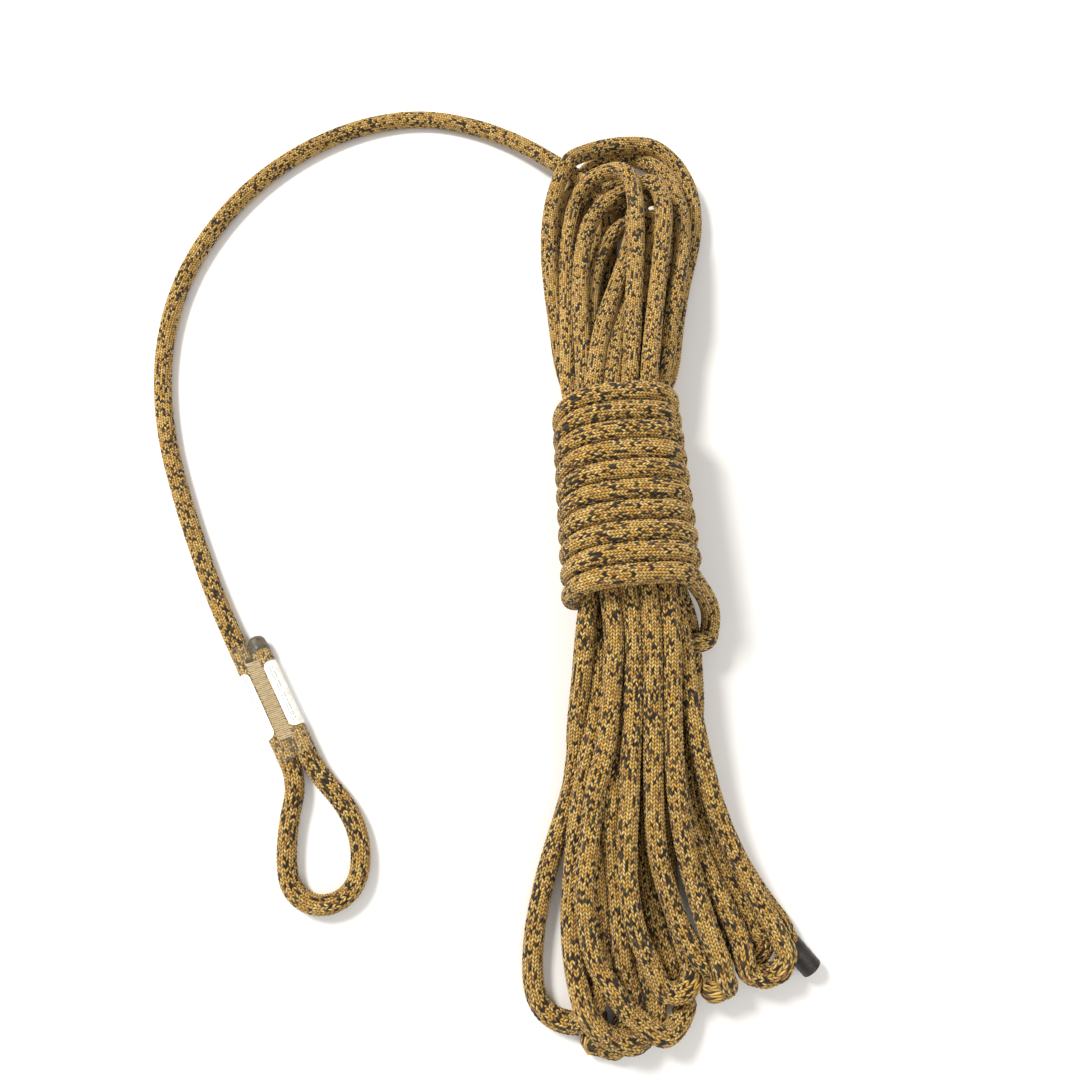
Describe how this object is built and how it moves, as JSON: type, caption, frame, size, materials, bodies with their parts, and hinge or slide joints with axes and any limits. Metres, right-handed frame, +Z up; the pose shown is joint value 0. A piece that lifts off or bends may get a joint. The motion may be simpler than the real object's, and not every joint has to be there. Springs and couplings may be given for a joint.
{
  "type": "climbing rope with sewn eye",
  "caption": "Flecked braided climbing rope, hanked and frapped at the waist, with one sewn eye in a clear sleeve and one sleeved cut end.",
  "frame": {"origin": "on the ground, under the middle of the whole layout's outline", "axes": "+Z up, +Y along the hank towards its top bights, the sewn eye on the -X side"},
  "size_m": [0.4129, 0.6212, 0.066],
  "materials": {
    "rope_cover": "braided cover in golden tan with black and olive flecks, matte",
    "rope_core": "cream twisted core yarns, matte",
    "stitch_thread": "tan bonded thread, satin",
    "label": "white printed film label, satin",
    "clear_film": "clear shrink film, glossy",
    "dip_seal": "black dipped end seal, satin",
    "end_sleeve": "black shrink sleeve, satin"
  },
  "bodies": {
    "root": {"free_strand_cover": "rope_cover", "eye_cover": "rope_cover", "standing_leg_cover": "rope_cover", "tail_leg_cover": "rope_cover", "hank_upper": "rope_cover", "hank_waist": "rope_cover", "hank_lower": "rope_cover", "frapping_turns": "rope_cover", "stray_bight": "rope_cover", "side_bight": "rope_cover", "cut_end_cover": "rope_cover", "free_strand_core": "rope_core", "eye_core": "rope_core", "standing_leg_core": "rope_core", "tail_leg_core": "rope_core", "cut_end_core": "rope_core", "throat_stitching": "stitch_thread", "throat_label": "label", "throat_film": "clear_film", "tail_end_seal": "dip_seal", "cut_end_sleeve": "end_sleeve"}
  },
  "joints": []
}
